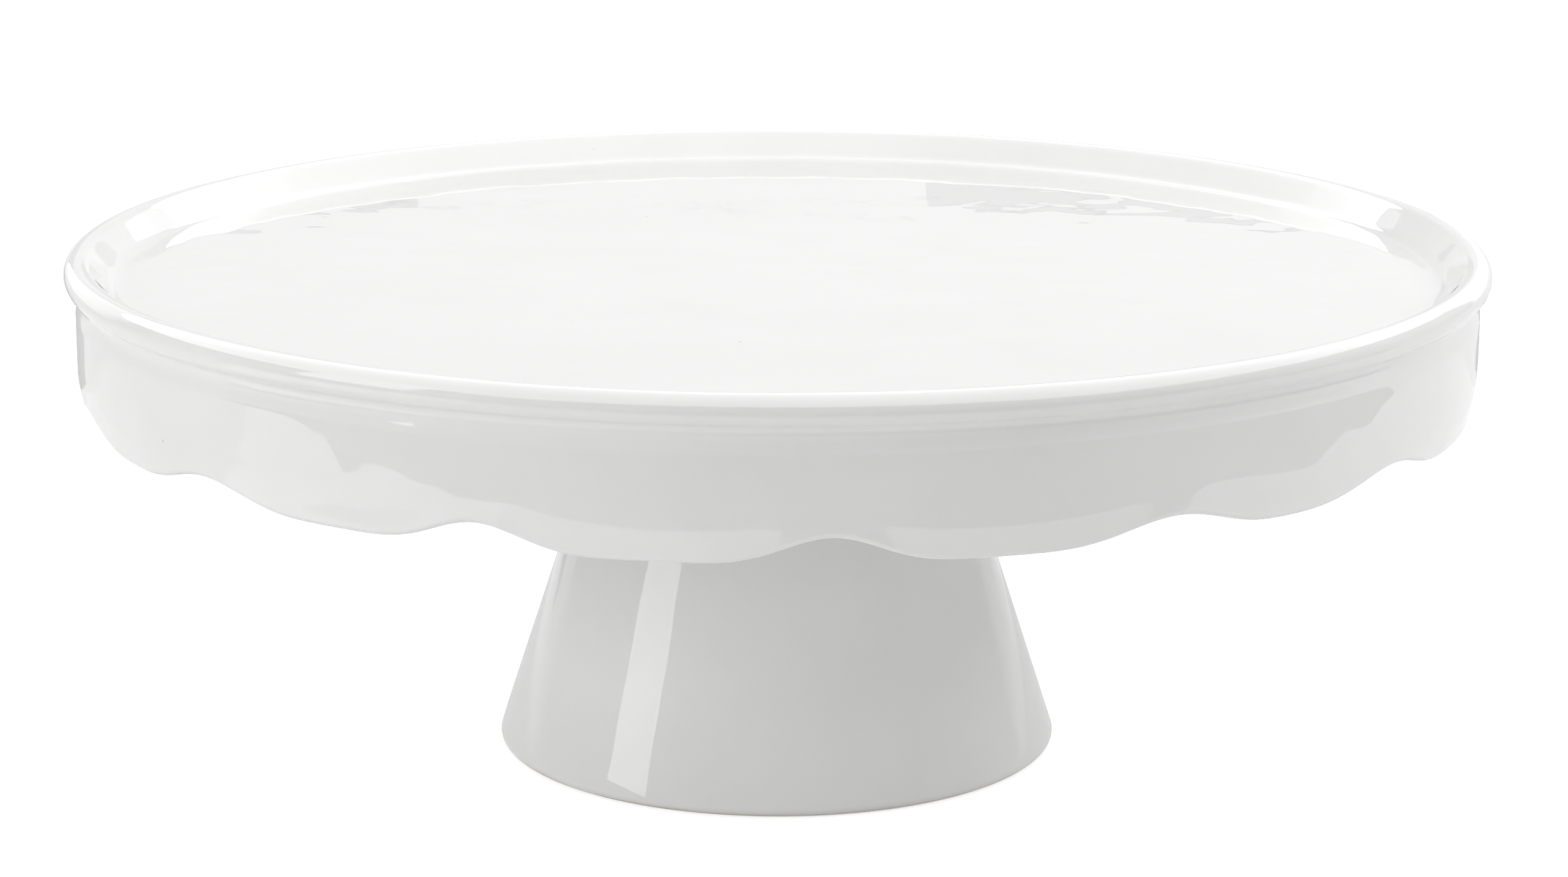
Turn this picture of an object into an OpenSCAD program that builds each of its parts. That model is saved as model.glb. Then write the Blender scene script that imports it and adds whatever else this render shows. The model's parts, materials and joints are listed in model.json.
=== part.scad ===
// Footed cake stand: a round glazed plate with a rolled rim and a scalloped skirt,
// clamped to a hollow conical pedestal by one stud and a wing nut.
// Units are millimetres. Z is up, the origin is on the table under the stand's centre,
// and one scallop notch faces the front, -Y.

/* [Plate] */
// Overall diameter, measured over the rolled rim
plate_d = 300; // [250:1:360]
// Overall height, from the table to the top of the rim
stand_h = 109.2; // [90:0.1:132]
// Height of the rim above the serving surface
rim_h = 6.2; // [4:0.1:8]
// Diameter of the rolled rim's round section
bead_d = 6.4; // [5:0.1:9]
// Radius of the fillet between the serving surface and the rim
rim_fillet = 3; // [2:0.1:5]
// Thickness of the plate's disc
plate_t = 6.5; // [5:0.1:9]

/* [Skirt] */
// How far the skirt's face stands in from the outside of the rim
skirt_setback = 2.2; // [1.2:0.1:4]
// Wall thickness of the skirt
skirt_t = 5.5; // [4:0.1:8]
// Depth of the skirt, from the serving surface to the tips of the scallops
skirt_drop = 25.8; // [20:0.1:36]
// Height of the cove under the rim
cove_h = 5.2; // [3:0.1:8]
// Depth of the cove under the rim
cove_depth = 1; // [0.4:0.1:2]
// Radius of the fillet between the disc's underside and the skirt
skirt_fillet = 4; // [2:0.1:6]

/* [Scallops] */
// Number of scallops round the skirt
scallop_count = 14; // [8:1:24]
// Height of each notch above the scallop tips
scallop_rise = 4.4; // [2:0.1:8]
// Width of each notch, as a share of the distance from one notch to the next
notch_share = 0.96; // [0.5:0.01:0.98]
// Sharpness of the notches: more gives a narrower top and gentler ends
notch_sharpness = 1.8; // [1:0.1:2.5]

/* [Pedestal] */
// Diameter at the table, where the flank would meet it without its rounded edge
foot_d = 121.4; // [100:0.1:146]
// Diameter of the pedestal's top edge, under the plate
crown_d = 59.6; // [54:0.1:74]
// Thickness of the cone's wall, measured level
cone_t = 7; // [5:0.1:9]
// Radius of the foot's outer edge
foot_round = 2; // [1:0.1:4]
// Radius of the crown's outer edge
crown_round = 1; // [0.5:0.1:2]
// Thickness of the web that the washers clamp against
web_t = 7; // [5:0.1:10]

/* [Seat] */
// Diameter of the boss under the plate, which centres it on the pedestal
boss_d = 40; // [34:0.5:44]
// Height of the boss
boss_h = 10; // [8:0.1:14]
// Gap all round the boss, and under it, in the pedestal's cup
boss_gap = 1; // [0.5:0.1:2]
// Thickness of the gasket between the crown and the plate
gasket_t = 1.5; // [1:0.1:3]
// How far the gasket stops short of the crown's inner and outer edges
gasket_margin = 1.2; // [0.5:0.1:2]

/* [Fastening] */
// Diameter of the stud's thread
stud_d = 8; // [6:0.5:10]
// Chamfer at the stud's free end
stud_chamfer = 1; // [0.5:0.1:1.5]
// Diameter of the stud's flat head, which is buried in the potting
stud_head_d = 14; // [11:0.5:16]
// Thickness of the stud's head
stud_head_t = 2; // [1:0.1:3]
// Diameter of the potted socket in the boss
socket_d = 18; // [17:0.5:24]
// Ceramic left between the socket and the serving surface
socket_roof = 4.5; // [3:0.1:6]
// Potting left above the stud's head
head_cover = 1.5; // [0.5:0.1:2.5]
// Radial gap between the stud and the hole in the web
stud_hole_gap = 1; // [0.5:0.1:2]
// Diameter of both washers
washer_d = 24; // [20:0.5:30]
// Radial gap between the washers and the stud
washer_gap = 0.4; // [0.2:0.1:0.8]
// Thickness of the rubber washer
rubber_t = 2; // [1:0.1:3]
// Thickness of the steel washer
steel_t = 1.5; // [1:0.1:2.5]
// Diameter of the wing nut's hub
nut_d = 15; // [13:0.5:18]
// Height of the wing nut's hub
nut_h = 8; // [6:0.5:12]
// Radial gap between the wing nut's thread and the stud's
thread_gap = 0.05; // [0.02:0.01:0.09]
// Span over the wing tips
wing_span = 36; // [30:1:44]
// Thickness of each wing
wing_t = 3; // [2:0.1:4]
// Radius of each wing's round tip
wing_tip_r = 5; // [4:0.1:6]
// Height of each wing where it leaves the hub
wing_root_h = 6; // [4:0.5:6]
// How far the middles of the wing tips hang below the hub
wing_drop = 2.5; // [0:0.5:5]
// Travel of the wing nut down the stud before it comes off
nut_travel = 20; // [12:0.5:24]

/* [Hidden] */
$fn = 96;

GLAZE = "white";
overcut = 1;          // how far a cutter runs past what it cuts, and a joined shape runs in
arc_steps = 8;        // flats in a quarter of a small round
notch_steps = 24;     // flats along one notch's curve
notch_dip = 0.3;      // how far below the tips a notch's curve starts, to cross the edge cleanly

// Levels, from the top down
serving_z = stand_h - rim_h;
underside_z = serving_z - plate_t;
crown_z = underside_z - gasket_t;
boss_z = underside_z - boss_h;
web_top_z = boss_z - boss_gap;
web_z = web_top_z - web_t;
rubber_z = web_z - rubber_t;
steel_z = rubber_z - steel_t;
nut_z = steel_z - nut_h;
stud_end_z = steel_z - nut_travel;
socket_z = serving_z - socket_roof;
stud_top_z = socket_z - head_cover;

// The rolled rim and the skirt under it
bead_r = bead_d / 2;
bead_x = plate_d / 2 - bead_r;
bead_z = stand_h - bead_r;
fillet_z = serving_z + rim_fillet;
fillet_x = bead_x - sqrt(pow(bead_r + rim_fillet, 2) - pow(fillet_z - bead_z, 2));
fillet_angle = atan2(bead_z - fillet_z, bead_x - fillet_x);
skirt_r = plate_d / 2 - skirt_setback;
skirt_in_r = skirt_r - skirt_t;
neck_r = skirt_r - cove_depth;
crease_angle = -acos((neck_r - bead_x) / bead_r);
crease_z = bead_z + bead_r * sin(crease_angle);
tip_z = serving_z - skirt_drop;

// The cone
foot_r = foot_d / 2;
crown_r = crown_d / 2;
cup_r = boss_d / 2 + boss_gap;
flank_angle = atan2(foot_r - crown_r, crown_z);
function flank_r(z) = foot_r - (foot_r - crown_r) * z / crown_z;
stud_hole_r = stud_d / 2 + stud_hole_gap;

// Points along an arc about (x, z), from angle a to angle b in n steps. A first of 1 leaves out
// the arc's own first point, where the outline before it already ends there.
function arc(x, z, r, a, b, n = arc_steps, first = 0) =
    [for (i = [first:n]) let (t = a + (b - a) * i / n) [x + r * cos(t), z + r * sin(t)]];

// The cove's outward sweep: t runs from 0 at the rim to 1 at the skirt's shoulder
function cove(t) = [neck_r + cove_depth * (1 - cos(180 * t)) / 2, crease_z - cove_h * t];

// The lower edge's height above the scallop tips: u runs from -0.5 to 0.5 across one notch
function notch_rise(u) =
    (scallop_rise + notch_dip) * pow(pow(cos(180 * u), 2), notch_sharpness) - notch_dip;

module ring(outer_r, inner_r, z, h) {
    translate([0, 0, z]) difference() {
        cylinder(r = outer_r, h = h);
        translate([0, 0, -overcut]) cylinder(r = inner_r, h = h + 2 * overcut);
    }
}

// Everything below one notch's curve
module notch_cutter() {
    notch_angle = 360 / scallop_count * notch_share;
    reach_in = skirt_in_r * cos(notch_angle / 2) - overcut;
    curve = [for (i = [0:notch_steps]) let (u = i / notch_steps - 0.5)
             [skirt_r * sin(notch_angle * u), tip_z + notch_rise(u)]];
    floor_z = tip_z - overcut;
    outline = concat([[curve[0][0], floor_z]], curve, [[curve[notch_steps][0], floor_z]]);
    rotate([90, 0, 0]) translate([0, 0, reach_in])
        linear_extrude(height = plate_d / 2 + overcut - reach_in) polygon(outline);
}

module plate_body() {
    boss_r = boss_d / 2;
    rotate_extrude() polygon(concat(
        [[0, boss_z], [boss_r, boss_z], [boss_r, underside_z]],
        arc(skirt_in_r - skirt_fillet, underside_z - skirt_fillet, skirt_fillet, 90, 0),
        [[skirt_in_r, tip_z], [skirt_r, tip_z]],
        [for (i = [arc_steps:-1:1]) cove(i / arc_steps)],
        arc(bead_x, bead_z, bead_r, crease_angle, 180 + fillet_angle, 3 * arc_steps),
        arc(fillet_x, fillet_z, rim_fillet, fillet_angle, -90, first = 1),
        [[0, serving_z]]));
}

module plate() {
    color(GLAZE) difference() {
        plate_body();
        for (k = [0:scallop_count - 1]) rotate(k * 360 / scallop_count) notch_cutter();
        translate([0, 0, boss_z - overcut])
            cylinder(d = socket_d, h = socket_z - boss_z + overcut);
    }
}

module pedestal() {
    foot_x = foot_r - foot_round / tan((90 - flank_angle) / 2);
    crown_x = crown_r - crown_round * tan((90 - flank_angle) / 2);
    color(GLAZE) rotate_extrude() polygon(concat(
        [[flank_r(0) - cone_t, 0]],
        arc(foot_x, foot_round, foot_round, -90, flank_angle),
        arc(crown_x, crown_z - crown_round, crown_round, flank_angle, 90),
        [[cup_r, crown_z], [cup_r, web_top_z], [stud_hole_r, web_top_z],
         [stud_hole_r, web_z], [flank_r(web_z) - cone_t, web_z]]));
}

module seat_gasket() {
    color("gainsboro")
        ring(crown_r - crown_round - gasket_margin, cup_r + gasket_margin, crown_z, gasket_t);
}

// The stud without colour, so that the potting can be cut with it
module stud_shape() {
    stud_r = stud_d / 2;
    rotate_extrude() polygon([
        [0, stud_end_z], [stud_r - stud_chamfer, stud_end_z], [stud_r, stud_end_z + stud_chamfer],
        [stud_r, stud_top_z - stud_head_t], [stud_head_d / 2, stud_top_z - stud_head_t],
        [stud_head_d / 2, stud_top_z], [0, stud_top_z]]);
}

module centre_stud() {
    color("silver") stud_shape();
}

module stud_potting() {
    color("darkkhaki") difference() {
        translate([0, 0, boss_z]) cylinder(d = socket_d, h = socket_z - boss_z);
        stud_shape();
    }
}

module rubber_washer() {
    color("dimgray") ring(washer_d / 2, stud_d / 2 + washer_gap, rubber_z, rubber_t);
}

module steel_washer() {
    color("silver") ring(washer_d / 2, stud_d / 2 + washer_gap, steel_z, steel_t);
}

// One wing, seen from the front: an arm that widens into a round tip
module wing_outline() {
    root_x = nut_d / 2 - overcut;
    wing_x = wing_span / 2 - wing_tip_r;
    wing_z = nut_z - wing_drop;
    translate([wing_x, wing_z]) circle(r = wing_tip_r);
    polygon([[root_x, nut_z + wing_root_h], [root_x, nut_z],
             [wing_x, wing_z - wing_tip_r], [wing_x, wing_z + wing_tip_r]]);
}

module wing_nut() {
    color("silver") {
        difference() {
            translate([0, 0, nut_z]) cylinder(d = nut_d, h = nut_h);
            translate([0, 0, nut_z - overcut])
                cylinder(r = stud_d / 2 + thread_gap, h = nut_h + 2 * overcut);
        }
        for (side = [0, 180]) rotate([90, 0, side])
            translate([0, 0, -wing_t / 2]) linear_extrude(height = wing_t) wing_outline();
    }
}

plate();
pedestal();
seat_gasket();
centre_stud();
stud_potting();
rubber_washer();
steel_washer();
wing_nut();
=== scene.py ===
"""The looks of the footed cake stand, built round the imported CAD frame.

Lengths in this script are millimetres, and put_mesh() turns them into Blender's metres. Only the
materials' own lengths, and the scales of their patterns, are in metres. Angles named "turn" are degrees
round the stand's axis, from the front (-Y) towards the right (+X).
"""

import json
import math

import bmesh
import bpy
from mathutils import Matrix, Vector, noise

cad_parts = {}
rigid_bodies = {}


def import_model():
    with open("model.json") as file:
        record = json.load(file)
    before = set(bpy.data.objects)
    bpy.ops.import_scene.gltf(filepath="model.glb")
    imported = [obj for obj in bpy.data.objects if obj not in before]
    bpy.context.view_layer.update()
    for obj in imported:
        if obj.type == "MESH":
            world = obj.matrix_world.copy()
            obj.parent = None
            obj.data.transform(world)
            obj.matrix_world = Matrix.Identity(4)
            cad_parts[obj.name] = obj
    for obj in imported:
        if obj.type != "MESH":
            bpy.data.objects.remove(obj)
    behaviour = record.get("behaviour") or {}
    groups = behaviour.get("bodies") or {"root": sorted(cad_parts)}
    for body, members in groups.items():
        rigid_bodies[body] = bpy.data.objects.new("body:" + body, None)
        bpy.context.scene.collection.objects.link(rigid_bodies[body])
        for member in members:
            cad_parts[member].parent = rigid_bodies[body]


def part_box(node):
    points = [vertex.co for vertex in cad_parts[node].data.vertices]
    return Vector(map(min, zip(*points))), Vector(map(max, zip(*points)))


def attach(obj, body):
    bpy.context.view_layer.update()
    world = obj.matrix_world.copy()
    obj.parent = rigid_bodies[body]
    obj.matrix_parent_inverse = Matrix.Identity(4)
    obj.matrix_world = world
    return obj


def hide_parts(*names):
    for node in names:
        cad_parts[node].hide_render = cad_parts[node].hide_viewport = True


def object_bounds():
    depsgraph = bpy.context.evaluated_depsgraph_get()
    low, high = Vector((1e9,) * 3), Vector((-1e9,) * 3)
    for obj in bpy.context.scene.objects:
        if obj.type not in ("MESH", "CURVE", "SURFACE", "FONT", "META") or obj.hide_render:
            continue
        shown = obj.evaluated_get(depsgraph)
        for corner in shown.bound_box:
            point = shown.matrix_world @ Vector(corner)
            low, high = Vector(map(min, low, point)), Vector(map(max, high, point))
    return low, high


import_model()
cad_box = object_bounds()
MM = 0.001


# ---------------------------------------------------------------- camera

CAMERA_TURN = -4.0        # the camera stands a little left of the front notch
CAMERA_UP = 13.5          # its height above the horizon, in degrees
CAMERA_DISTANCE = 870.0   # from the point it looks at
CAMERA_LENS = 92.8        # focal length, on a 36 mm sensor
CAMERA_ROLL = 0.16
CAMERA_AIM_SIDE = 1.4     # the point it looks at, to the right of the axis
CAMERA_AIM_SHARE = 0.6    # and its height, as a share of the stand's


def make_camera():
    low, high = cad_box
    out = Vector((math.sin(math.radians(CAMERA_TURN)), -math.cos(math.radians(CAMERA_TURN)), 0))
    side = Vector((-out.y, out.x, 0))
    up = math.radians(CAMERA_UP)
    back = out * math.cos(up) + Vector((0, 0, math.sin(up)))
    aim = side * CAMERA_AIM_SIDE * MM + Vector((0, 0, high.z * CAMERA_AIM_SHARE))
    data = bpy.data.cameras.new("camera")
    data.lens = CAMERA_LENS
    data.sensor_width = 36
    camera = bpy.data.objects.new("camera", data)
    bpy.context.collection.objects.link(camera)
    facing = (-back).to_track_quat("-Z", "Y").to_matrix().to_4x4()
    roll = Matrix.Rotation(math.radians(CAMERA_ROLL), 4, "Z")
    camera.matrix_world = Matrix.Translation(aim + back * CAMERA_DISTANCE * MM) @ facing @ roll
    bpy.context.scene.camera = camera


# ---------------------------------------------------------------- sizes from the frame

def size(node):
    """A node's outer radius, and its lowest and highest level."""
    low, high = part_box(node)
    return high[0] / MM, low[2] / MM, high[2] / MM


RIM_R, TIP_Z, RIM_Z = size("plate")
CROWN_Z = size("pedestal")[2]
GASKET_R, GASKET_Z, UNDERSIDE_Z = size("seat_gasket")
STUD_HEAD_R, STUD_END_Z, STUD_TOP_Z = size("centre_stud")
SOCKET_R, BOSS_Z, SOCKET_Z = size("stud_potting")
WASHER_R, RUBBER_Z, WEB_Z = size("rubber_washer")
STEEL_Z = size("steel_washer")[1]
WING_TIP_R, WING_LOW_Z = size("wing_nut")[:2]


# ---------------------------------------------------------------- mesh helpers

def arc(x, z, radius, start, stop, steps):
    """Points along an arc about (x, z), both ends included."""
    points = []
    for i in range(steps + 1):
        angle = math.radians(start + (stop - start) * i / steps)
        points.append((x + radius * math.cos(angle), z + radius * math.sin(angle)))
    return points


def run(start, stop, spacing):
    """Points along a straight stretch, without its last end."""
    steps = max(1, round(math.dist(start, stop) / spacing))
    return [(start[0] + (stop[0] - start[0]) * i / steps,
             start[1] + (stop[1] - start[1]) * i / steps) for i in range(steps)]


def smooth(t):
    """Eases from 0 to 1."""
    t = min(max(t, 0.0), 1.0)
    return t * t * (3 - 2 * t)


def put_mesh(name, vertices, faces):
    """A smooth-shaded mesh object from millimetre points, its normals facing out."""
    mesh = bpy.data.meshes.new(name)
    mesh.from_pydata([(x * MM, y * MM, z * MM) for x, y, z in vertices], [], faces)
    shape = bmesh.new()
    shape.from_mesh(mesh)
    bmesh.ops.recalc_face_normals(shape, faces=shape.faces)
    shape.to_mesh(mesh)
    shape.free()
    for polygon in mesh.polygons:
        polygon.use_smooth = True
    piece = bpy.data.objects.new(name, mesh)
    bpy.context.collection.objects.link(piece)
    return piece


def revolve(name, profile, columns):
    """Turns profile(turn), a list of (radius, z), round the axis. A first and last point of radius 0
    make a solid with poles; otherwise the outline is a loop round the axis."""
    vertices, faces = [], []
    poles = profile(0)[0][0] == 0
    for column in range(columns):
        turn = 360 * column / columns
        angle = math.radians(turn)
        points = profile(turn)
        if poles:
            ends = points[0], points[-1]
            points = points[1:-1]
        vertices += [(r * math.sin(angle), -r * math.cos(angle), z) for r, z in points]
    rows = len(points)
    for column in range(columns):
        here, after = column * rows, (column + 1) % columns * rows
        for row in range(rows if not poles else rows - 1):
            below = (row + 1) % rows
            faces.append((here + row, after + row, after + below, here + below))
    if poles:
        first, last = len(vertices), len(vertices) + 1
        vertices += [(0, 0, ends[0][1]), (0, 0, ends[1][1])]
        for column in range(columns):
            here, after = column * rows, (column + 1) % columns * rows
            faces.append((first, after, here))
            faces.append((last, here + rows - 1, after + rows - 1))
    return put_mesh(name, vertices, faces)


def ripple(piece, depth, waves, keep=lambda x, y, z: 1.0):
    """Moves a glazed surface in and out along its normals, by noise of several wavelengths. keep()
    says how much of the depth each place takes."""
    mesh = piece.data
    moved = []
    for vertex in mesh.vertices:
        place = vertex.co / MM
        amount = 0.0
        for wavelength, share in waves:
            amount += share * noise.noise(place / wavelength)
        amount *= depth * keep(place.x, place.y, place.z)
        moved.append(vertex.co + vertex.normal * amount * MM)
    for vertex, co in zip(mesh.vertices, moved):
        vertex.co = co
    mesh.update()


def apply_modifier(piece, kind, **settings):
    """Runs one modifier and keeps its result as the piece's mesh."""
    modifier = piece.modifiers.new(kind.lower(), kind)
    for name, value in settings.items():
        setattr(modifier, name, value)
    graph = bpy.context.evaluated_depsgraph_get()
    made = bpy.data.meshes.new_from_object(piece.evaluated_get(graph))
    piece.modifiers.clear()
    piece.data = made
    for polygon in made.polygons:
        polygon.use_smooth = True


def ride(piece, body, slot, *nodes):
    """Puts a piece on a body, in the place of the CAD nodes named. The slot argument is not used."""
    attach(piece, body)
    if nodes:
        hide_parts(*nodes)


# ---------------------------------------------------------------- the plate

BEAD_R = 3.15             # the rolled rim's round section
RIM_H = 6.2               # the rim above the serving surface
RIM_SLOPE = 50.0          # the steepest part of the rim's inner side, from level
RIM_FILLET = 3.5          # where the rim meets the serving surface
CLEAR = 0.08              # kept inside the CAD box, for the glaze's ripple
CREASE_R = 2.0            # the glaze that fills the crease under the rim
SKIRT_SETBACK = 2.2       # the skirt's face, inside the bead's
COVE_H = 5.2              # the shallow hollow between the bead and the skirt's shoulder
COVE_DEPTH = 0.45
SKIRT_T = 5.5
EDGE_T = 4.4              # the skirt's thickness at its lower edge, rounded corners included
EDGE_R = 1.2
SKIRT_FILLET = 4.0        # where the skirt meets the underside
BOSS_R = 20.0             # the boss that holds the stud
BOSS_FILLET = 0.8
BOSS_ROUND = 1.0
SCALLOPS = 14
NOTCH_RISE = 4.5          # a notch's top above the edge's tips
NOTCH_SHARP = 2.3         # how pointed it is
NOTCH_VARY = 0.6          # how far one notch differs from the next in both
NOTCH_SHIFT = 0.9         # and in its place round the edge, in degrees
TUCK = 1.3                # how far the skirt's lower edge leans in between the notches
TUCK_H = 9.0              # and how high up it starts to
PLATE_COLUMNS = SCALLOPS * 40
PLATE_RIPPLE = 0.18
PLATE_WAVES = ((60, 0.7), (22, 0.5), (9, 0.24))   # wavelength, share of the depth

SERVING_Z = RIM_Z - RIM_H
SKIRT_R = RIM_R - SKIRT_SETBACK
SKIRT_IN_R = SKIRT_R - SKIRT_T
NECK_R = SKIRT_R - COVE_DEPTH
BEAD_X = RIM_R - CLEAR - BEAD_R
BEAD_Z = RIM_Z - CLEAR - BEAD_R
CREASE_TURN = math.degrees(math.acos((NECK_R + CREASE_R - BEAD_X) / (BEAD_R + CREASE_R)))


def notch_at(turn):
    """How high the scalloped edge stands above its tips. Each notch is a little different, as on a
    hand-finished edge."""
    pitch = 360 / SCALLOPS
    nearest = round(turn / pitch)
    best = 0.0
    for k in (nearest - 1, nearest, nearest + 1):
        odd = k % SCALLOPS
        middle = k * pitch + NOTCH_SHIFT * math.sin(2.4 * odd)
        vary = NOTCH_VARY * math.cos(1.9 * odd)
        away = (turn - middle) / pitch
        if abs(away) < 0.5:
            bump = (math.cos(math.pi * away) ** 2) ** (NOTCH_SHARP + vary)
            best = max(best, (NOTCH_RISE + vary) * bump)
    return best


def plate_top():
    """From the middle of the serving surface out over the rim and down its crease and cove."""
    slope = math.radians(RIM_SLOPE)
    bead_in = BEAD_X - BEAD_R * math.sin(slope)
    bead_on = BEAD_Z + BEAD_R * math.cos(slope)
    fillet_z = SERVING_Z + RIM_FILLET
    fillet_top = fillet_z - RIM_FILLET * math.cos(slope)
    fillet_x = bead_in - (bead_on - fillet_top) / math.tan(slope) - RIM_FILLET * math.sin(slope)
    points = [(0, SERVING_Z)] + run((3, SERVING_Z), (fillet_x, SERVING_Z), 3)
    points += arc(fillet_x, fillet_z, RIM_FILLET, -90, RIM_SLOPE - 90, 9)
    points += run(points[-1], (bead_in, bead_on), 0.7)[1:]
    points += arc(BEAD_X, BEAD_Z, BEAD_R, RIM_SLOPE + 90, -CREASE_TURN, 34)
    crease_z = BEAD_Z - (BEAD_R + CREASE_R) * math.sin(math.radians(CREASE_TURN))
    points += arc(NECK_R + CREASE_R, crease_z, CREASE_R, 180 - CREASE_TURN, 180, 6)[1:]
    shoulder_z = BEAD_Z - BEAD_R - COVE_H
    for i in range(1, 13):
        t = i / 12
        points.append((NECK_R + COVE_DEPTH * smooth(t), crease_z + (shoulder_z - crease_z) * t))
    return points


def plate_below():
    """From the skirt's inner face over the underside and the boss, into the stud's socket."""
    points = arc(SKIRT_IN_R - SKIRT_FILLET, UNDERSIDE_Z - SKIRT_FILLET, SKIRT_FILLET, 0, 90, 8)
    points += run((SKIRT_IN_R - SKIRT_FILLET - 3, UNDERSIDE_Z), (BOSS_R + 3, UNDERSIDE_Z), 6)
    points += arc(BOSS_R + BOSS_FILLET, UNDERSIDE_Z - BOSS_FILLET, BOSS_FILLET, 90, 180, 4)
    points += run((BOSS_R, UNDERSIDE_Z - 2), (BOSS_R, BOSS_Z + 1.5), 3)
    points += arc(BOSS_R - BOSS_ROUND, BOSS_Z + BOSS_ROUND, BOSS_ROUND, 0, -90, 4)
    points += run((BOSS_R - 3, BOSS_Z), (SOCKET_R, BOSS_Z), 3)
    points += run((SOCKET_R, BOSS_Z), (SOCKET_R, SOCKET_Z), 3)
    points += run((SOCKET_R, SOCKET_Z), (0, SOCKET_Z), 4) + [(0, SOCKET_Z)]
    return points


TOP_POINTS = plate_top()
BELOW_POINTS = plate_below()


def plate_profile(turn):
    """The plate's whole section: top, rim, skirt down to its scalloped edge, and underside."""
    rise = notch_at(turn)
    lean = TUCK * (1 - 0.8 * min(1.0, rise / NOTCH_RISE))
    shoulder_z = TOP_POINTS[-1][1]
    edge_z = TIP_Z + rise
    corner_z = edge_z + EDGE_R

    def face(z):
        return SKIRT_R - lean * smooth((edge_z + TUCK_H - z) / TUCK_H) ** 1.5

    points = []
    for i in range(1, 17):
        z = shoulder_z + (corner_z - shoulder_z) * i / 16
        points.append((face(z), z))
    outer = face(corner_z) - EDGE_R
    inner = outer + 2 * EDGE_R - EDGE_T
    points += arc(outer, corner_z, EDGE_R, -12, -90, 6)
    points += arc(inner, corner_z, EDGE_R, -105, -180, 5)
    top_z = UNDERSIDE_Z - SKIRT_FILLET
    for i in range(1, 6):
        t = i / 6
        edge_x = inner - EDGE_R
        points.append((edge_x + (SKIRT_IN_R - edge_x) * t, corner_z + (top_z - corner_z) * t))
    return TOP_POINTS + points + BELOW_POINTS


def make_plate():
    plate = revolve("plate_glazed", plate_profile, PLATE_COLUMNS)

    def keep(x, y, z):
        """Slight in the middle of the serving surface and underneath, full at the surface's edge and
        on the skirt, half on the rim."""
        out = math.hypot(x, y)
        if z > SERVING_Z - 1:
            return 0.35 + 0.65 * smooth((out - 100) / 40) if out < RIM_R - 8 else 0.5
        return 1.0 if out > SKIRT_IN_R else 0.3

    ripple(plate, PLATE_RIPPLE, PLATE_WAVES, keep)
    ride(plate, "stand", "glaze", "plate")
    return plate


# ---------------------------------------------------------------- the pedestal

CONE_T = 7.0
FOOT_ROUND = 1.6
FOOT_IN_ROUND = 1.0
CROWN_R = 29.8
CROWN_ROUND = 1.2
CUP_R = 21.0              # the cup in the crown that takes the plate's boss
CUP_FILLET = 2.0
CUP_ROUND = 0.8
WEB_T = 7.0               # the floor of the cup, which the stud goes through
WEB_FILLET = 6.0
STUD_HOLE_R = 5.0
HOLE_ROUND = 0.7
FOOT_CONE_R = 60.7        # where the flank would meet the table without its rounded edge
PEDESTAL_COLUMNS = 240
PEDESTAL_RIPPLE = 0.14
PEDESTAL_WAVES = ((45, 0.5), (18, 0.5), (8, 0.2))


def flank(z):
    """The cone's outer radius at a level."""
    return FOOT_CONE_R - (FOOT_CONE_R - CROWN_R) * z / CROWN_Z


def pedestal_profile(turn):
    """The pedestal's section: cup, crown, flank, foot and the hollow cone. It is the same all round."""
    slope = math.degrees(math.atan2(FOOT_CONE_R - CROWN_R, CROWN_Z))
    half = math.tan(math.radians((90 - slope) / 2))
    web_top = WEB_Z + WEB_T
    foot_x = FOOT_CONE_R - FOOT_ROUND / half
    crown_x = CROWN_R - CROWN_ROUND * half
    inner_web = flank(WEB_Z) - CONE_T
    points = run((STUD_HOLE_R + HOLE_ROUND, web_top), (CUP_R - CUP_FILLET, web_top), 4)
    points += arc(CUP_R - CUP_FILLET, web_top + CUP_FILLET, CUP_FILLET, -90, 0, 6)
    points += run((CUP_R, web_top + CUP_FILLET + 1), (CUP_R, CROWN_Z - 1), 3)
    points += arc(CUP_R + CUP_ROUND, CROWN_Z - CUP_ROUND, CUP_ROUND, 180, 90, 4)
    points += run((CUP_R + 2, CROWN_Z), (crown_x, CROWN_Z), 2)
    points += arc(crown_x, CROWN_Z - CROWN_ROUND, CROWN_ROUND, 90, slope, 6)
    flank_top = CROWN_Z - CROWN_ROUND - 1.5
    flank_low = FOOT_ROUND + 1.5
    points += run((flank(flank_top), flank_top), (flank(flank_low), flank_low), 2)
    points += arc(foot_x, FOOT_ROUND, FOOT_ROUND, slope, -90, 10)
    points += arc(flank(0) - CONE_T + FOOT_IN_ROUND, FOOT_IN_ROUND, FOOT_IN_ROUND, -90, -180, 4)
    points += run((flank(3) - CONE_T, 3), (inner_web + 2.2, WEB_Z - WEB_FILLET), 5)
    points += arc(inner_web - WEB_FILLET + 0.6, WEB_Z - WEB_FILLET, WEB_FILLET, 8, 90, 8)
    points += run((inner_web - WEB_FILLET - 2, WEB_Z), (STUD_HOLE_R + 2, WEB_Z), 4)
    points += arc(STUD_HOLE_R + HOLE_ROUND, WEB_Z + HOLE_ROUND, HOLE_ROUND, -90, -180, 3)
    points += arc(STUD_HOLE_R + HOLE_ROUND, web_top - HOLE_ROUND, HOLE_ROUND, 180, 100, 3)
    return points


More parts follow.
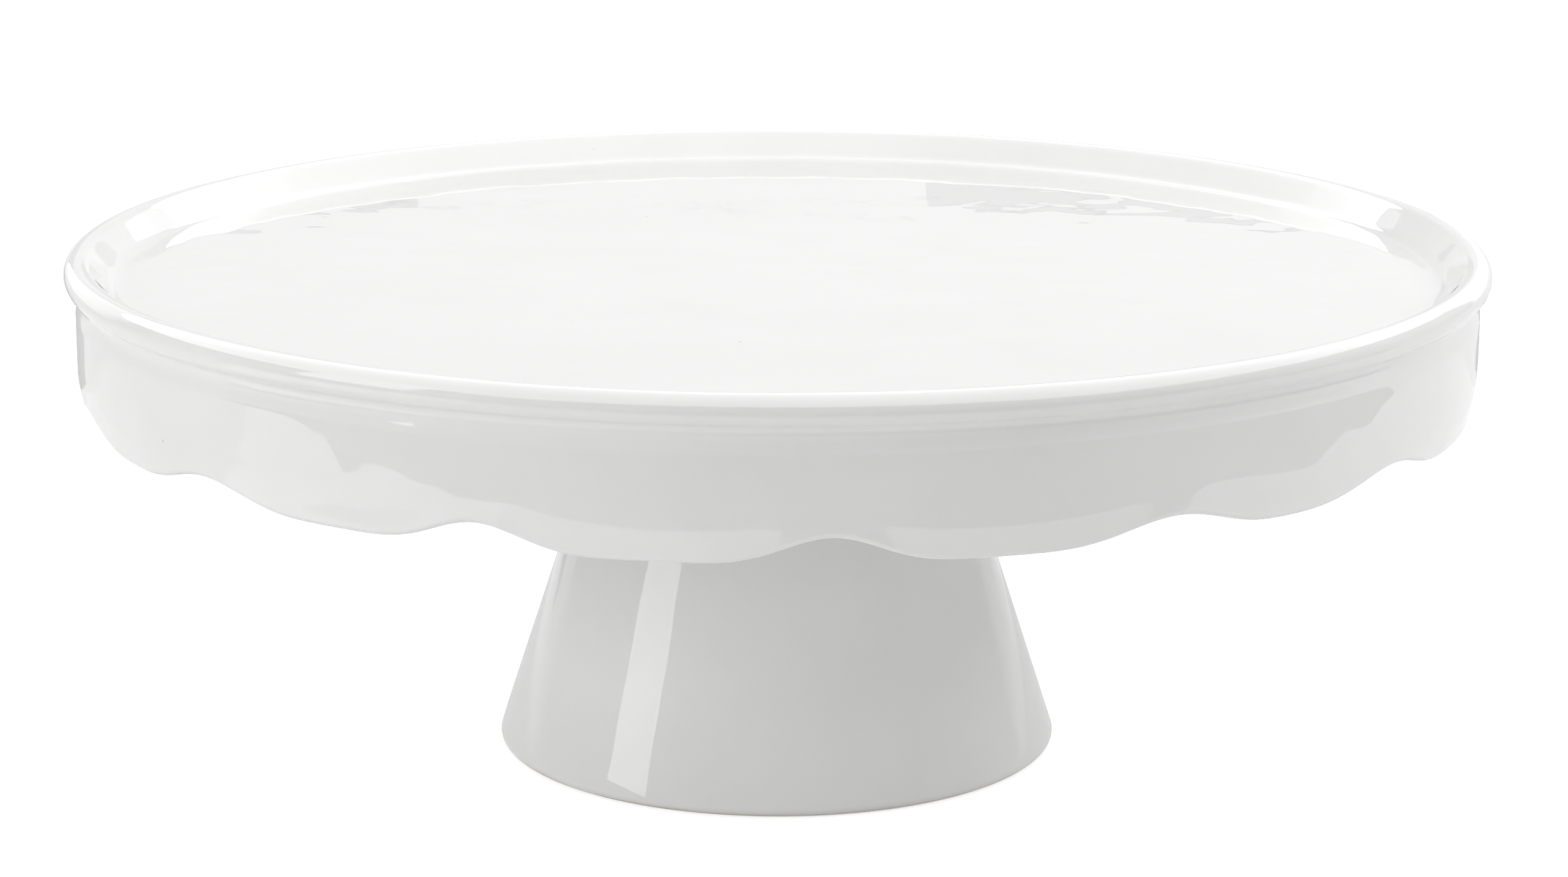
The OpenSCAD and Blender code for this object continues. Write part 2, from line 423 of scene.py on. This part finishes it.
def make_pedestal():
    pedestal = revolve("pedestal_glazed", pedestal_profile, PEDESTAL_COLUMNS)

    def keep(x, y, z):
        """Only the flank ripples, less so towards its two ends."""
        on_flank = math.hypot(x, y) > flank(z) - 2
        return smooth((z - 1) / 6) * smooth((CROWN_Z - 4 - z) / 4) if on_flank else 0.0

    ripple(pedestal, PEDESTAL_RIPPLE, PEDESTAL_WAVES, keep)
    ride(pedestal, "stand", "glaze", "pedestal")
    return pedestal


# ---------------------------------------------------------------- the hardware

THREAD_PITCH = 1.25
THREAD_R = 4.0
THREAD_DEPTH = 0.62
THREAD_PLAY = 0.06        # between the stud's thread and the nut's
STUD_CHAMFER = 1.0
STUD_HEAD_T = 2.0
STUD_HEAD_ROUND = 0.4
WASHER_BORE_R = 4.4
GASKET_IN_R = 22.2
HUB_R = 7.5               # the wing nut's hub, at its widest
HUB_H = 8.0
HUB_BORE_R = HUB_R - 2.6  # cut in the casting, and filled by the thread's own piece
WING_R = 5.0              # a wing's rounded end
WING_T = 3.0
NUT_VOXEL = 0.4


def ring(name, inner, outer, low, high, rounding, columns=96, dish=0.0):
    """A washer or gasket with rounded edges. dish is how far its top face sinks in the middle."""
    def profile(turn):
        points = arc(outer - rounding, high - rounding, rounding, 90, 0, 4)
        points += arc(outer - rounding, low + rounding, rounding, 0, -90, 4)
        points += arc(inner + rounding, low + rounding, rounding, -90, -180, 4)
        points += arc(inner + rounding, high - rounding, rounding, 180, 90, 4)
        for t in (0.3, 0.5, 0.7):
            points.append((inner + (outer - inner) * t, high - dish * math.sin(math.pi * t)))
        return points

    return revolve(name, profile, columns)


def thread_radius(turn, z, radius):
    """A thread's surface: crests and roots are slightly flat, flanks are straight. It winds left-handed,
    and the nut's joint is right-handed, so the stud's and the nut's match only at each half turn."""
    phase = (z / THREAD_PITCH + turn / 360) % 1.0
    tooth = abs(2 * phase - 1)
    cut = min(max((tooth - 0.12) / 0.72, 0.0), 1.0)
    return radius - THREAD_DEPTH * cut


def make_stud():
    head_z = STUD_TOP_Z - STUD_HEAD_T
    threaded_to = head_z - 1.5

    def profile(turn):
        points = [(0, STUD_END_Z), (THREAD_R - STUD_CHAMFER - 0.8, STUD_END_Z)]
        steps = round((threaded_to - STUD_END_Z) / THREAD_PITCH * 10)
        for i in range(steps + 1):
            z = STUD_END_Z + (threaded_to - STUD_END_Z) * i / steps
            limit = THREAD_R - STUD_CHAMFER + (z - STUD_END_Z)
            points.append((min(thread_radius(turn, z, THREAD_R), limit), z))
        points += [(THREAD_R - 0.3, threaded_to + 0.3), (THREAD_R - 0.3, head_z - 0.3), (THREAD_R, head_z)]
        edge = STUD_HEAD_R - STUD_HEAD_ROUND
        points += run((THREAD_R + 1, head_z), (edge, head_z), 2)
        points += arc(edge, head_z + STUD_HEAD_ROUND, STUD_HEAD_ROUND, -90, 0, 3)
        points += arc(edge, STUD_TOP_Z - STUD_HEAD_ROUND, STUD_HEAD_ROUND, 0, 90, 3)
        return points + [(STUD_HEAD_R / 2, STUD_TOP_Z), (0, STUD_TOP_Z)]

    stud = revolve("stud_threaded", profile, 48)
    ride(stud, "stand", "steel", "centre_stud")
    return stud


def make_wing_nut():
    """Hub and wings blended into one casting, with a threaded bore of its own."""
    hub_top = STEEL_Z
    hub_low = hub_top - HUB_H
    wing_x = WING_TIP_R - WING_R
    wing_z = WING_LOW_Z + WING_R

    def hub_profile(turn):
        points = [(0, hub_low), (HUB_BORE_R, hub_low)]
        points += arc(HUB_R - 1.6, hub_low + 0.8, 0.8, -90, 0, 4)
        points += run((HUB_R - 0.7, hub_low + 1.6), (HUB_R, hub_top - 1.6), 1)
        points += arc(HUB_R - 0.6, hub_top - 0.6, 0.6, 0, 90, 4)
        return points + [(HUB_R - 3, hub_top), (0, hub_top)]

    hub = revolve("nut_casting", hub_profile, 64)
    shape = bmesh.new()
    shape.from_mesh(hub.data)
    for side in (1, -1):
        outline = [(5.0, hub_low + 0.6), (wing_x - 3, wing_z - WING_R + 0.7)]
        outline += arc(wing_x, wing_z, WING_R, -110, 110, 18)
        outline += [(wing_x - 4.5, wing_z + WING_R - 0.6), (5.0, hub_low + 5.8)]
        front = [shape.verts.new((side * x * MM, -WING_T / 2 * MM, z * MM)) for x, z in outline]
        back = [shape.verts.new((side * x * MM, WING_T / 2 * MM, z * MM)) for x, z in outline]
        shape.faces.new(front)
        shape.faces.new(list(reversed(back)))
        for i in range(len(outline)):
            j = (i + 1) % len(outline)
            shape.faces.new((front[i], back[i], back[j], front[j]))
    bmesh.ops.recalc_face_normals(shape, faces=shape.faces)
    shape.to_mesh(hub.data)
    shape.free()
    apply_modifier(hub, "REMESH", mode="VOXEL", voxel_size=NUT_VOXEL * MM, use_smooth_shade=True)
    apply_modifier(hub, "SMOOTH", factor=0.5, iterations=5)

    def bore_profile(turn):
        points = []
        steps = round(HUB_H / THREAD_PITCH * 10)
        for i in range(steps + 1):
            z = hub_low + HUB_H * i / steps
            points.append((thread_radius(turn, z, THREAD_R) + THREAD_PLAY, z))
        return points + [(HUB_R - 2.2, hub_top), (HUB_R - 2.2, hub_low)]

    def cutter_profile(turn):
        return [(0, hub_low - 3), (HUB_BORE_R, hub_low - 3), (HUB_BORE_R, hub_top + 3), (0, hub_top + 3)]

    cutter = revolve("nut_cutter", cutter_profile, 64)
    apply_modifier(hub, "BOOLEAN", operation="DIFFERENCE", object=cutter, solver="EXACT")
    bpy.data.objects.remove(cutter)
    ride(hub, "wing_nut", "steel", "wing_nut")
    bore = revolve("nut_thread", bore_profile, 48)
    ride(bore, "wing_nut", "steel")
    return hub, bore


def make_rings():
    gasket = ring("gasket_silicone", GASKET_IN_R, GASKET_R, GASKET_Z, UNDERSIDE_Z, 0.6)
    ride(gasket, "stand", "silicone", "seat_gasket")
    rubber = ring("washer_rubber", WASHER_BORE_R, WASHER_R, RUBBER_Z, WEB_Z, 0.5, dish=0.1)
    ride(rubber, "washers", "rubber", "rubber_washer")
    steel = ring("washer_steel", WASHER_BORE_R, WASHER_R, STEEL_Z, RUBBER_Z, 0.2)
    ride(steel, "washers", "steel", "steel_washer")
    return gasket, rubber, steel


# ---------------------------------------------------------------- materials

class Nodes:
    """A short way to build a node material."""

    def __init__(self, name):
        self.material = bpy.data.materials.new(name)
        self.material.use_nodes = True
        self.tree = self.material.node_tree
        self.shader = self.tree.nodes["Principled BSDF"]

    def add(self, kind, inputs=(), **settings):
        node = self.tree.nodes.new("ShaderNode" + kind)
        for name, value in settings.items():
            setattr(node, name, value)
        for name, value in dict(inputs).items():
            if hasattr(value, "is_output"):
                self.tree.links.new(value, node.inputs[name])
            else:
                node.inputs[name].default_value = value
        return node

    def set(self, **values):
        for name, value in values.items():
            socket = self.shader.inputs[name.replace("_", " ")]
            if hasattr(value, "is_output"):
                self.tree.links.new(value, socket)
            else:
                socket.default_value = value

    def place(self):
        return self.add("TexCoord").outputs["Object"]

    def noise(self, place, scale, detail=2.0):
        return self.add("TexNoise", {"Vector": place, "Scale": scale, "Detail": detail}).outputs["Fac"]

    def cells(self, place, scale):
        return self.add("TexVoronoi", {"Vector": place, "Scale": scale}).outputs["Distance"]

    def between(self, value, low, high, to_low=0.0, to_high=1.0):
        """Carries low..high over to to_low..to_high, and holds at both ends."""
        return self.add("MapRange", {"Value": value, "From Min": low, "From Max": high,
                                     "To Min": to_low, "To Max": to_high}).outputs["Result"]

    def maths(self, operation, first, second):
        return self.add("Math", {0: first, 1: second}, operation=operation).outputs[0]

    def blend(self, factor, first, second):
        return self.add("MixRGB", {"Fac": factor, "Color1": first, "Color2": second}).outputs[0]

    def bump(self, height, strength, distance):
        return self.add("Bump", {"Height": height, "Strength": strength, "Distance": distance}).outputs[0]


def glaze_material():
    """Clear gloss over white clay: faint mottling, a few specks, a soft orange-peel, and bare biscuit
    where the foot was wiped clean."""
    n = Nodes("glaze")
    place = n.place()
    colour = n.blend(n.noise(place, 35.0, 4.0), (0.80, 0.80, 0.795, 1), (0.86, 0.86, 0.856, 1))
    near_speck = n.between(n.cells(place, 70.0), 0.02, 0.038, 1.0, 0.0)
    has_specks = n.between(n.noise(place, 18.0, 0.0), 0.5, 0.54)
    speck = n.maths("MULTIPLY", n.maths("MULTIPLY", near_speck, has_specks), 0.6)
    colour = n.blend(speck, colour, (0.45, 0.42, 0.38, 1))
    level = n.add("SeparateXYZ", {"Vector": place}).outputs["Z"]
    wobble = n.between(n.noise(place, 60.0), 0.3, 0.7, -0.0003, 0.0003)
    bare = n.between(n.maths("ADD", level, wobble), 0.0006, 0.0009, 1.0, 0.0)
    colour = n.blend(bare, colour, (0.74, 0.71, 0.66, 1))
    smear = n.between(n.noise(place, 14.0, 3.0), 0.45, 0.75, 0.0, 0.008)
    rough = n.maths("ADD", n.between(bare, 0.0, 1.0, 0.006, 0.7), smear)
    height = n.blend(bare, n.noise(place, 120.0, 1.0), n.noise(place, 2500.0))
    n.set(Base_Color=colour, Roughness=rough, IOR=1.5, Normal=n.bump(height, 0.5, 0.00003))
    return n.material


def steel_material():
    n = Nodes("steel")
    place = n.place()
    grain = n.noise(place, 900.0, 3.0)
    colour = n.blend(n.noise(place, 120.0), (0.54, 0.54, 0.53, 1), (0.66, 0.66, 0.65, 1))
    n.set(Base_Color=colour, Metallic=1.0, Roughness=n.between(grain, 0.3, 0.7, 0.24, 0.4),
          Normal=n.bump(grain, 0.35, 0.00004))
    return n.material


def rubber_material():
    n = Nodes("rubber")
    place = n.place()
    dust = n.noise(place, 150.0, 4.0)
    colour = n.blend(dust, (0.028, 0.028, 0.028, 1), (0.055, 0.054, 0.052, 1))
    n.set(Base_Color=colour, Roughness=n.between(dust, 0.3, 0.7, 0.6, 0.78),
          Normal=n.bump(n.noise(place, 1600.0), 0.5, 0.00006))
    return n.material


def silicone_material():
    n = Nodes("silicone")
    cloud = n.noise(n.place(), 200.0, 3.0)
    colour = n.blend(cloud, (0.70, 0.70, 0.67, 1), (0.80, 0.80, 0.78, 1))
    n.set(Base_Color=colour, Roughness=n.between(cloud, 0.3, 0.7, 0.35, 0.5),
          Normal=n.bump(cloud, 0.3, 0.00005), Subsurface_Weight=0.3, Subsurface_Scale=0.001)
    return n.material


def epoxy_material():
    """Amber resin with small bubbles."""
    n = Nodes("epoxy")
    place = n.place()
    cloud = n.noise(place, 260.0, 3.0)
    colour = n.blend(cloud, (0.62, 0.55, 0.38, 1), (0.75, 0.69, 0.53, 1))
    n.set(Base_Color=colour, Roughness=n.between(cloud, 0.3, 0.7, 0.15, 0.3),
          Normal=n.bump(n.cells(place, 700.0), 0.3, 0.00005))
    return n.material


def dress(piece, material):
    piece.data.materials.clear()
    piece.data.materials.append(material)


# ---------------------------------------------------------------- the stage

WORLD_FRONT = 0.6         # how bright the room is, 1 being white
WORLD_BACK = 0.66
WORLD_TOP = 0.25
FLOOR_HALF = 4500         # from the middle of the floor to its edge
FLOOR_GREY = 0.9
FLOOR_GLOW = 0.5          # keeps the floor white right up to the stand
CARD_GREY = 0.1           # of the cards that only reflections show; their glow is what counts
AIM = (0, 0, 60)          # what the main soft boxes point at


def hide(piece, *rays):
    """Hides a piece from some kinds of ray, such as camera or glossy."""
    for ray in rays:
        setattr(piece, "visible_" + ray, False)


def plain_material(name, grey, glow=0.0):
    n = Nodes(name)
    n.set(Base_Color=(grey, grey, grey, 1), Roughness=0.9)
    n.set(Emission_Color=(1, 1, 1, 1), Emission_Strength=glow)
    n.shader.inputs["Specular IOR Level"].default_value = 0.0
    return n.material


def level_card(name, corners, level, grey, glow, *hidden_from):
    """A flat card that lies level."""
    piece = put_mesh(name, [(x, y, level) for x, y in corners], [tuple(range(len(corners)))])
    dress(piece, plain_material(name, grey, glow))
    hide(piece, *hidden_from)


def area_light(name, centre, aim, width, height, radiance):
    """A soft box, hidden from the camera. radiance is what a mirror would see in it, 1 being white."""
    data = bpy.data.lights.new(name, "AREA")
    data.shape = "RECTANGLE"
    data.size, data.size_y = width * MM, height * MM
    data.energy = radiance * math.pi * width * height * MM * MM
    light = bpy.data.objects.new(name, data)
    bpy.context.collection.objects.link(light)
    centre, aim = Vector(centre), Vector(aim)
    turned = (aim - centre).to_track_quat("-Z", "Y").to_matrix().to_4x4()
    light.matrix_world = Matrix.Translation(centre * MM) @ turned
    hide(light, "camera")
    return light


def fill_light(*settings):
    """A soft box that no reflection shows."""
    hide(area_light(*settings), "glossy")


def gloss_light(*settings):
    """A soft box that shows only as a reflection."""
    hide(area_light(*settings), "diffuse")


def around(turn, distance):
    """A place on the stage, by its turn round the stand."""
    angle = math.radians(turn)
    return distance * math.sin(angle), -distance * math.cos(angle)


def make_world():
    """A light room with a darker ceiling; soft boxes do most of the lighting from above."""
    world = bpy.data.worlds.new("studio")
    bpy.context.scene.world = world
    world.use_nodes = True
    tree = world.node_tree
    background = tree.nodes["Background"]
    background.inputs["Color"].default_value = (1, 1, 1, 1)
    way = tree.nodes.new("ShaderNodeSeparateXYZ")
    tree.links.new(tree.nodes.new("ShaderNodeTexCoord").outputs["Generated"], way.inputs[0])

    def rise(value, start, stop, low, high):
        node = tree.nodes.new("ShaderNodeMapRange")
        node.interpolation_type = "SMOOTHSTEP"
        tree.links.new(value, node.inputs["Value"])
        for socket, number in zip(("From Min", "From Max", "To Min", "To Max"), (start, stop, low, high)):
            if hasattr(number, "is_output"):
                tree.links.new(number, node.inputs[socket])
            else:
                node.inputs[socket].default_value = number
        return node.outputs["Result"]

    sides = rise(way.outputs["Y"], -0.6, 0.5, WORLD_FRONT, WORLD_BACK)
    whole = rise(way.outputs["Z"], 0.3, 0.9, sides, WORLD_TOP)
    tree.links.new(whole, background.inputs["Strength"])


def ragged(corners, spacing=12, size=26, grain=70):
    """The same outline with an uneven edge. Outlines that share a side still meet along it."""
    points = []
    for start, stop in zip(corners, corners[1:] + corners[:1]):
        start, stop = Vector((*start, 0)), Vector((*stop, 0))
        steps = math.ceil((stop - start).length / spacing)
        for i in range(steps):
            place = start.lerp(stop, i / steps)
            points.append((place.x + size * noise.noise(place / grain),
                           place.y + size * noise.noise(place / grain + Vector((0, 0, 9)))))
    return points


def make_table():
    """The camera sees a plain pale floor, and a second one just below it throws light up at the stand.
    The glaze mirrors cards instead: a white table that ends a little way out, brightest at the front left
    and shaded under the stand, then a band of dim floor, then the far floor of a light room, with a grey
    patch behind."""
    half = FLOOR_HALF
    square = [(-half, -half), (half, -half), (half, half), (-half, half)]
    level_card("floor", square, -0.03, FLOOR_GREY, FLOOR_GLOW, "diffuse", "glossy", "shadow")
    level_card("table_bounce", square, -1, FLOOR_GREY, 0.0, "camera", "glossy")
    seam_front, seam, seam_back = (-225, -300), (-225, -40), (-225, 300)
    left_front = [(-655, -40), (-460, -205), (-355, -295), seam_front, seam]
    left_back = [(-750, 300), (-750, 40), (-655, -40), seam, seam_back]
    right_half = [seam_front, (0, -300), (415, -205), (450, -135), (510, 60), (500, 300), seam_back, seam]
    dim = [(-950, -850), (800, -850), (800, 60), (480, 60), (-225, 0), (-750, 40), (-950, 40)]
    behind = [(-300, 320), (300, 320), (450, 900), (-450, 900)]
    shade = [around(360 * i / 64, 200) for i in range(64)]
    cards = [("far_floor", square, -0.5, 0.85),
             ("dim_floor", dim, -0.1, 0.0),
             ("left_front", ragged(left_front), 0.05, 1.55),
             ("left_back", ragged(left_back), 0.05, 0.95),
             ("right_half", ragged(right_half), 0.05, 0.95),
             ("behind", ragged(behind), 0.05, 0.5),
             ("under_stand", shade, 0.15, 0.7)]
    for name, corners, level, glow in cards:
        level_card(name, corners, level, CARD_GREY, glow, "camera", "diffuse", "shadow")


def make_lights():
    """Each line: name, centre, what it points at, width, height, radiance."""
    fill_light("top_right", (1300, 0, 1100), AIM, 900, 900, 3.7)
    fill_light("left_fill", (*around(-50, 1000), 300), AIM, 900, 500, 0.75)
    fill_light("top_soft", (0, 0, 1300), AIM, 900, 900, 2.1)
    area_light("window", (*around(-62 + CAMERA_TURN, 900), 320), AIM, 320, 380, 3.0)
    area_light("back_high", (0, 1600, 1015), (0, 0, 1015), 3400, 1270, 0.42)
    gloss_light("back_low", (0, 1610, 190), (0, 0, 190), 3400, 380, 0.16)
    gloss_light("back_centre", (45, 1600, 190), (45, 0, 190), 310, 380, 0.26)
    gloss_light("back_left", (*around(-142, 1400), 450), (0, 0, 450), 800, 700, 0.7)
    gloss_light("back_right", (*around(146, 1400), 450), (0, 0, 450), 650, 700, 0.7)
    gloss_light("side_dim", (*around(84, 1000), 400), (0, 0, 400), 2600, 400, 0.1)
    gloss_light("overhead", (0, 0, 1480), (0, 0, 0), 5200, 5200, 2.7)


def make_stage():
    make_world()
    make_table()
    make_lights()
    scene = bpy.context.scene
    scene.view_settings.view_transform = "Standard"
    scene.view_settings.look = "None"


# ---------------------------------------------------------------- the whole

glaze, steel = glaze_material(), steel_material()
dress(make_plate(), glaze)
dress(make_pedestal(), glaze)
dress(make_stud(), steel)
for nut_piece in make_wing_nut():
    dress(nut_piece, steel)
gasket, rubber_washer, steel_washer = make_rings()
dress(gasket, silicone_material())
dress(rubber_washer, rubber_material())
dress(steel_washer, steel)
epoxy = epoxy_material()
for node_object in bpy.data.objects:      # the potting stays as CAD made it, in its own material
    if node_object.name.startswith("stud_potting") and node_object.type == "MESH":
        dress(node_object, epoxy)

make_camera()
make_stage()
